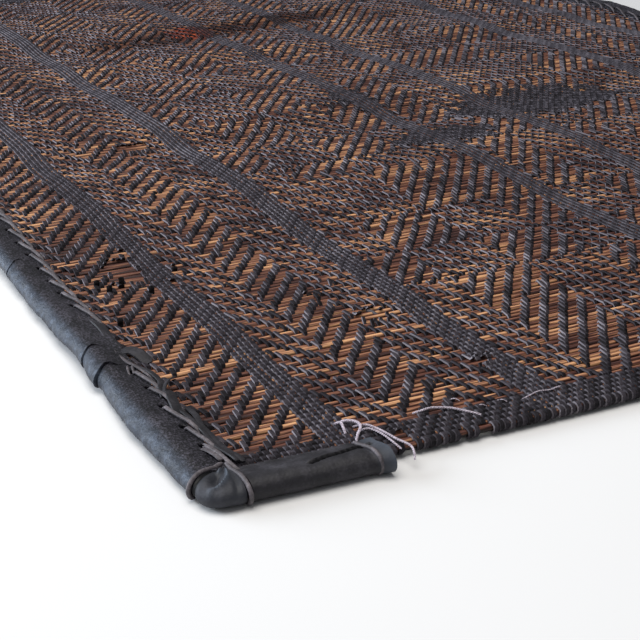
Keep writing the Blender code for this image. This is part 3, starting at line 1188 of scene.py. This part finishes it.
def heading(path, k):
    """Which way a path runs at its k-th point."""
    return Vector(path[min(k + 1, len(path) - 1)] - path[max(k - 1, 0)]).normalized()


def round_rings(path, radius, sides):
    """Rings of a round thong along a list of points, its ends drawn in."""
    sections = []
    path = [Vector(p) for p in path]
    side_way = None
    for k, point in enumerate(path):
        ahead = heading(path, k)
        if side_way is None:
            side_way = ahead.orthogonal().normalized()
        side_way = (side_way - ahead * side_way.dot(ahead)).normalized()
        other = ahead.cross(side_way)
        thick = radius * (END_TAPER if k in (0, len(path) - 1) else 1.0)
        sections.append([tuple(point + thick * (math.cos(a) * side_way + math.sin(a) * other))
                         for a in np.arange(sides) * 2.0 * math.pi / sides])
    return sections


def thong_ring(side, end, across, name):
    """From the inner corner over the leather and down its outer side to the floor."""
    turn = math.atan(TIE_SLANT) if across == "binding" else 0.5 * math.pi
    reach = cap_reach(turn) - RING_SUNK * RING_RADIUS
    path = []
    for s, z in outer_side():
        low = REED_CLEAR if s < CROWN_AT and z > SLOT_HIGH else RING_RADIUS + RING_OFF_FLOOR
        out = RING_START + (reach - RING_START) * s / BINDING_WIDTH
        path.append(from_hub(side, end, out, turn, max(z, low)))
    return lofted(name, round_rings(path, RING_RADIUS, RING_SIDES))


rubbed, tree, shader = new_material("rubbed_thong")
fibre = object_noise(tree, 900.0, detail=4.0)
blotch = object_noise(tree, 160.0, detail=2.0)
handled = ramp(tree, weighted(tree, (fibre, 0.0, 0.5), (blotch, 0.0, 0.5)), [
    (0.30, (0.026, 0.022, 0.025)),
    (0.50, (0.070, 0.060, 0.068)),
    (0.68, (0.165, 0.145, 0.160)),
])
surface(tree, shader, handled, 0.6)
bump(tree, shader, fibre, 0.2 * MM, 0.7)

for side, end, corner in CORNERS:
    for across in ("binding", "sleeve"):
        node = f"thong_ring_{corner}_{across}"
        piece = thong_ring(side, end, across, f"rubbed_{node}")
        piece.data.materials.append(rubbed)
        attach(piece, "root")
        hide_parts(node)

collar_x = sleeve_high.x + (sleeve_low.x + SLEEVE_SHORT - sleeve_high.x) * COLLAR_AT
collar_thongs = []
for side, end, _ in CORNERS:
    path = [(side * (collar_x - COLLAR_SLANT * s), end * (sleeve_edge(collar_x) + COLLAR_ROUND * s),
             max(z + COLLAR_UP, COLLAR_THONG))
            for s, z in outer_side() if z > 0.0]
    collar_thongs.append(round_rings(path, COLLAR_THONG, RING_SIDES))
piece = lofted("collar_thongs", *collar_thongs)
piece.data.materials.append(rubbed)
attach(piece, "root")


# Lacing
# A flat leather thong sews each binding's inner edge to the weave. Each stitch comes
# out of a hole, runs forwards over the edge and dives down between the woven thongs.
STITCH_LONG = 23.0 * MM
STITCH_IN = 6.2 * MM
STITCH_START = 1.5 * MM            # it comes out this far in front of the hole's middle
STITCH_WIDE = 1.7 * MM
STITCH_THICK = 0.4 * MM            # half its thickness
STITCH_RINGS = 13
STITCH_TILT = 0.12
STITCH_LIFT = 0.55 * MM            # its middle over the leather
STITCH_BOW = 0.3 * MM              # how much it bows up and aside
STITCH_BEND = 1.1                  # it turns inwards more and more
STITCH_WAVES = 5.0
STITCH_APART = 90.0                # radians a metre, so that no two stitches are alike
STITCH_OUT_OF = -0.9 * MM          # its first end, in the hole
STITCH_INTO = -0.8 * MM            # its last end, in the weave
WEAVE_TOP = 5.1 * MM
EDGE_EASE = 2.4 * MM
STRIP_TAPER = 0.45
LEVEL_LEAST = 0.2                  # a strip that runs steeper than this keeps the way it lay
FLAT_SECTION = [(-1.0, -0.9), (-0.92, 0.6), (-0.6, 1.0), (0.6, 1.0), (0.92, 0.6), (1.0, -0.9)]


def flat_strip(path, width, thick, tilt=0.0):
    """Rings of a flat thong along a path, level unless it is tilted; its ends taper."""
    path = [Vector(p) for p in path]
    rings = []
    across = Vector((1.0, 0.0, 0.0))
    for k, point in enumerate(path):
        ahead = heading(path, k)
        level = ahead.cross(Vector((0.0, 0.0, 1.0)))
        if level.length > LEVEL_LEAST:
            across = level.normalized()
        up = across.cross(ahead)
        wide = math.cos(tilt) * across + math.sin(tilt) * up
        high = math.cos(tilt) * up - math.sin(tilt) * across
        taper = STRIP_TAPER if k in (0, len(path) - 1) else 1.0
        half = 0.5 * width * taper
        rings.append([tuple(point + half * a * wide + thick * b * high) for a, b in FLAT_SECTION])
    return rings


def lie_at(y, s):
    """Height of the leather at s, or of the weave beside it, eased over the leather's edge."""
    weave = underside(y) + WEAVE_TOP
    leather = underside(y) + roll_height(max(s, 0.0))
    return weave + (leather - weave) * held((s + EDGE_EASE) / EDGE_EASE)


def stitch(side, y, s):
    path = []
    for k in range(STITCH_RINGS):
        share = k / (STITCH_RINGS - 1)
        ahead = y - STITCH_START - STITCH_LONG * share
        aside = STITCH_BOW * math.sin(share * STITCH_WAVES + y * STITCH_APART)
        inwards = s - STITCH_IN * share ** STITCH_BEND + aside
        lift = STITCH_LIFT + STITCH_BOW * math.sin(math.pi * share)
        if k == 0:
            lift = STITCH_OUT_OF
        elif k == STITCH_RINGS - 1:
            lift = STITCH_INTO
        path.append((side * (corner_x + inwards), ahead, lie_at(ahead, inwards) + lift))
    return flat_strip(path, STITCH_WIDE, STITCH_THICK, side * STITCH_TILT)


for side, side_name in SIDES:
    piece = lofted(f"lacing_{side_name}", *[stitch(side, y, s) for y, s in hole_places])
    piece.data.materials.append(rubbed)
    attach(piece, "root")


# Loose leather
# Strips of the lacing that lie along the binding, worn flaps of leather, a bent end
# and two thin strands beside the front left corner, all as the photo shows them.
LOOSE_PALE = [
    # width in mm, tilt, places: x, y, z in mm
    (1.9, 0.3, [(-352.4, -296.0, 7.4), (-352.0, -312.0, 8.9), (-350.9, -330.5, 8.7), (-349.6, -347.3, 8.6),
                (-348.8, -361.9, 8.5), (-348.2, -370.1, 8.4), (-346.2, -376.0, 8.3), (-343.7, -384.0, 7.4),
                (-341.3, -390.7, 5.0)]),
    (1.6, 0.2, [(-352.6, -331.0, 7.4), (-351.8, -339.0, 9.0), (-350.6, -350.5, 8.9), (-349.6, -361.0, 8.9),
                (-348.6, -364.0, 7.4)]),
    (1.0, 0.0, [(-349.5, -375.6, 8.4), (-350.6, -379.0, 8.5), (-351.7, -385.2, 7.6)]),
    (1.0, 0.0, [(-347.9, -376.6, 8.4), (-348.4, -379.0, 8.5), (-349.2, -383.6, 7.2)]),
    (3.2, 0.2, [(-349.0, -455.4, 6.6), (-348.4, -457.6, 8.0), (-347.5, -461.0, 8.5), (-346.7, -464.6, 8.6),
                (-346.0, -468.4, 8.0)]),
    (2.2, 0.6, [(-346.4, -452.4, 6.6), (-346.6, -456.0, 8.3), (-345.4, -461.0, 8.7), (-344.6, -466.6, 8.2)]),
    (1.8, 0.0, [(-225.4, -364.6, 3.6), (-225.0, -366.4, 5.8), (-223.6, -369.4, 6.6), (-221.8, -372.6, 5.2)]),
]

# Ends of broken thongs that stand up beside the bare spots, painted near black for the shade on them.
BLACK_ENDS = [
    # x, y, height over the reeds in mm
    (-328.5, -275.9, 4.6),
    (-325.8, -287.5, 5.6),
    (-317.4, -281.8, 6.4),
    (-307.4, -297.3, 5.4),
    (-285.7, -274.3, 3.6),
    (-303.9, -245.4, 3.4),
    (-335.7, -329.8, 6.6),
    (-240.4, -338.4, 3.2),
]
BLACK_WIDE = 2.9 * MM
REED_TOP = 3.4                     # mm
STANDING = [
    # how one stands: x, y, z in mm, share of its height
    (0.0, 0.0, -1.4, 0.0),
    (-0.1, 0.1, 0.0, 0.4),
    (0.1, 0.3, 0.0, 0.85),
    (0.2, 1.4, 0.0, 1.0),
]
LOOSE_DARK = [
    # width in mm, tilt, places: x, y, z in mm
    (2.3, 0.5, [(-341.0, -391.6, 6.4), (-342.6, -396.6, 8.2), (-344.6, -401.7, 8.5), (-345.8, -406.4, 8.0),
                (-346.0, -408.4, 7.0)]),
    (2.0, -0.5, [(-333.4, -389.6, 5.6), (-335.8, -392.8, 7.0), (-339.0, -396.3, 8.3), (-342.4, -401.2, 8.7),
                 (-345.3, -406.8, 8.3)]),
    (5.4, 0.35, [(-345.2, -313.0, 6.0), (-345.4, -321.9, 7.7), (-345.2, -332.3, 8.2), (-346.0, -344.2, 8.0),
                 (-345.2, -350.8, 7.8), (-345.0, -357.4, 6.8)]),
    (5.6, -0.15, [(-347.6, -358.2, 6.8), (-345.6, -360.6, 8.7), (-342.6, -362.5, 9.3), (-340.4, -367.0, 8.6),
                  (-338.2, -373.0, 6.4)]),
    (2.8, 0.3, [(-345.6, -372.0, 6.6), (-344.8, -377.6, 7.8), (-342.2, -383.7, 7.8), (-341.3, -392.9, 7.4),
                (-342.6, -399.4, 6.4)]),
    (5.2, 0.4, [(-341.0, -400.6, 6.0), (-342.2, -406.6, 7.9), (-343.8, -413.6, 8.2), (-344.9, -420.0, 7.9),
                (-345.8, -427.4, 6.4)]),
    (2.6, 0.4, [(-343.9, -417.0, 6.4), (-343.5, -425.7, 7.4), (-342.7, -435.0, 7.1), (-342.7, -444.3, 7.2),
                (-343.5, -455.7, 7.6), (-341.5, -467.4, 8.2), (-340.6, -471.4, 7.6)]),
    (2.8, 0.2, [(-340.0, -416.0, 5.2), (-339.6, -426.8, 6.6), (-341.0, -436.0, 6.5), (-341.0, -445.2, 6.6),
                (-340.7, -459.0, 6.8), (-338.9, -467.0, 7.2), (-338.4, -471.0, 6.4)]),
]
SMOOTH_BETWEEN = 4


def eased_path(places):
    """More points along a line of places, on a smooth curve through them, in metres."""
    places = [Vector(p) * MM for p in places]
    path = []
    for k in range(len(places) - 1):
        before = places[max(k - 1, 0)]
        after = places[min(k + 2, len(places) - 1)]
        for step in range(SMOOTH_BETWEEN):
            t = step / SMOOTH_BETWEEN
            path.append(0.5 * (2.0 * places[k] + (places[k + 1] - before) * t
                               + (2.0 * before - 5.0 * places[k] + 4.0 * places[k + 1] - after) * t * t
                               + (3.0 * places[k] - before - 3.0 * places[k + 1] + after) * t * t * t))
    return path + [places[-1]]


shaded_thong_end, tree, shader = new_material("shaded_thong_end")
end_mottle = object_noise(tree, 600.0, detail=3.0)
# Painted shade: the standing ends are near black all over.
painted_shade_black = ramp(tree, end_mottle, [
    (0.35, (0.0020, 0.0016, 0.0020)),
    (0.65, (0.0200, 0.0180, 0.0200)),
])
surface(tree, shader, painted_shade_black, 0.9, 0.05)
bump(tree, shader, end_mottle, 0.2 * MM, 0.6)
upright = []
for x, y, high in BLACK_ENDS:
    places = [(x + dx, y + dy, REED_TOP + dz + share * high) for dx, dy, dz, share in STANDING]
    upright.append(flat_strip(eased_path(places), BLACK_WIDE, STITCH_THICK))
piece = lofted("cut_ends", *upright)
piece.data.materials.append(shaded_thong_end)
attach(piece, "root")

for name, table, look in (("loose_strips", LOOSE_PALE, rubbed), ("loose_flaps", LOOSE_DARK, smooth_hide)):
    piece = lofted(name, *[flat_strip(eased_path(places), width * MM, STITCH_THICK, tilt)
                           for width, tilt, places in table])
    piece.data.materials.append(look)
    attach(piece, "root")


# White threads
# Two-ply cotton, caught in the front selvedge: a tangle beside the front left sleeve,
# an arc and a thin end further along.
PLY_RADIUS = 0.31 * MM
PLY_TURN = 2.2 * MM                # length along the thread of one full turn
PLY_SIDES = 6
PLY_STEP = 0.45 * MM
PLY_APART = 0.75                   # of a ply's radius, from the thread's middle to its own
THREADS = [
    # thickness against the plain thread, places: x, y, z in mm
    (1.2, [(-292.9, -459.6, 5.6), (-291.4, -461.9, 7.2), (-292.3, -465.8, 7.6), (-292.9, -469.4, 5.6)]),
    (1.3, [(-289.4, -459.2, 5.8), (-287.9, -462.8, 7.6), (-286.2, -466.2, 8.2), (-286.6, -470.1, 8.0),
           (-290.4, -474.4, 7.2), (-291.8, -476.2, 5.6)]),
    (1.0, [(-287.2, -465.0, 5.6), (-285.3, -468.0, 7.4), (-283.2, -470.4, 8.0), (-280.6, -476.4, 7.8),
           (-278.5, -484.0, 7.4), (-276.0, -490.5, 7.0), (-276.6, -494.6, 6.2), (-277.9, -497.4, 4.2)]),
    (0.9, [(-286.6, -469.6, 6.0), (-283.8, -471.6, 7.2), (-281.4, -477.0, 7.2), (-280.2, -484.0, 6.6),
           (-279.2, -490.0, 5.6)]),
    (1.1, [(-259.8, -466.0, 5.2), (-257.0, -467.4, 6.4), (-252.5, -468.0, 7.0), (-248.6, -469.6, 7.0),
           (-244.4, -472.0, 6.8), (-240.0, -476.6, 6.4), (-236.4, -480.2, 5.8), (-234.6, -482.6, 4.8)]),
    (0.6, [(-212.6, -476.6, 5.2), (-208.6, -476.6, 6.2), (-203.0, -475.5, 6.4), (-198.0, -476.5, 6.2),
           (-192.0, -475.4, 6.0), (-189.4, -476.6, 5.0)]),
    (0.5, [(-239.4, -462.8, 5.4), (-238.0, -464.4, 6.2), (-236.4, -465.8, 5.4)]),
    (0.5, [(-232.4, -472.6, 5.4), (-231.0, -474.2, 6.2), (-229.2, -475.2, 5.4)]),
    (0.5, [(-222.4, -472.8, 5.4), (-221.0, -474.4, 6.2), (-219.4, -475.8, 5.4)]),
]


def plies(scale, places):
    """The two twisted plies of a thread along its places."""
    curve = eased_path(places)
    reach = np.concatenate([[0.0], np.cumsum([(b - a).length for a, b in zip(curve, curve[1:])])])
    steps = np.arange(0.0, reach[-1], PLY_STEP)
    line = np.stack([np.interp(steps, reach, [p[axis] for p in curve]) for axis in range(3)], axis=1)
    radius = PLY_RADIUS * scale
    made = []
    for half_turn in (0.0, math.pi):
        path = []
        for k, point in enumerate(line):
            ahead = heading(line, k)
            level = ahead.cross(Vector((0.0, 0.0, 1.0))).normalized()
            turn = half_turn + 2.0 * math.pi * steps[k] / PLY_TURN
            aside = math.cos(turn) * level + math.sin(turn) * level.cross(ahead)
            path.append(Vector(point) + PLY_APART * radius * aside)
        made.append(round_rings(path, radius, PLY_SIDES))
    return made


cotton, tree, shader = new_material("cotton_thread")
fluff = object_noise(tree, 1500.0, detail=3.0)
whitish = ramp(tree, fluff, [
    (0.30, (0.22, 0.18, 0.22)),
    (0.60, (0.62, 0.55, 0.62)),
])
surface(tree, shader, whitish, 0.85)
bump(tree, shader, fluff, 0.15 * MM, 0.5)
piece = lofted("white_threads", *[ply for scale, places in THREADS for ply in plies(scale, places)])
piece.data.materials.append(cotton)
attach(piece, "root")


# Floor, light and camera
# A plain pale floor, a wide soft window of light on the left, a softer one over
# the mat, and the camera low at the front left corner.
CAMERA_AT = (-0.5227, -0.8798, 0.2649)
CAMERA_PITCH = 66.0
CAMERA_TURN = -28.0
CAMERA_LENS = 75.7
CAMERA_SENSOR = 36.0
CAMERA_NEAREST = 0.01
FLOOR_SIZE = 12.0
FLOOR_DROP = 0.05 * MM
FLOOR_GREY = (0.72, 0.72, 0.72)
LIGHTS = [
    # name, place, what it shines at, size, power, colour
    ("window", (-1.8, 0.9, 0.75), (-0.15, -0.1, 0.0), (1.6, 0.9), 54.0, (0.82, 0.90, 1.0)),
    ("overhead", (-0.45, -0.3, 1.5), (-0.2, -0.2, 0.0), (1.3, 1.3), 24.0, (1.0, 0.97, 0.93)),
]
STUDIO_TINT = (0.93, 0.95, 1.0, 1.0)
STUDIO_STRENGTH = 0.24

bpy.ops.object.select_all(action="DESELECT")
bpy.ops.mesh.primitive_plane_add(size=FLOOR_SIZE, location=(0.0, 0.0, -FLOOR_DROP))
floor = bpy.context.active_object
floor.name = "floor"
plain, tree, shader = new_material("pale_floor")
surface(tree, shader, FLOOR_GREY, 0.8)
floor.data.materials.append(plain)

for name, place, target, size, power, colour in LIGHTS:
    lamp = bpy.data.lights.new(name, "AREA")
    lamp.shape = "RECTANGLE"
    lamp.size, lamp.size_y = size
    lamp.energy = power
    lamp.color = colour
    holder = bpy.data.objects.new(name, lamp)
    holder.location = place
    holder.rotation_euler = (Vector(target) - Vector(place)).to_track_quat("-Z", "Y").to_euler()
    bpy.context.scene.collection.objects.link(holder)

world = bpy.data.worlds.new("studio")
world.use_nodes = True
world.node_tree.nodes["Background"].inputs["Color"].default_value = STUDIO_TINT
world.node_tree.nodes["Background"].inputs["Strength"].default_value = STUDIO_STRENGTH
bpy.context.scene.world = world
bpy.context.scene.view_settings.view_transform = "Standard"

lens = bpy.data.cameras.new("camera")
lens.lens = CAMERA_LENS
lens.sensor_width = CAMERA_SENSOR
lens.clip_start = CAMERA_NEAREST
camera = bpy.data.objects.new("camera", lens)
camera.location = CAMERA_AT
camera.rotation_euler = (math.radians(CAMERA_PITCH), 0.0, math.radians(CAMERA_TURN))
bpy.context.scene.collection.objects.link(camera)
bpy.context.scene.camera = camera
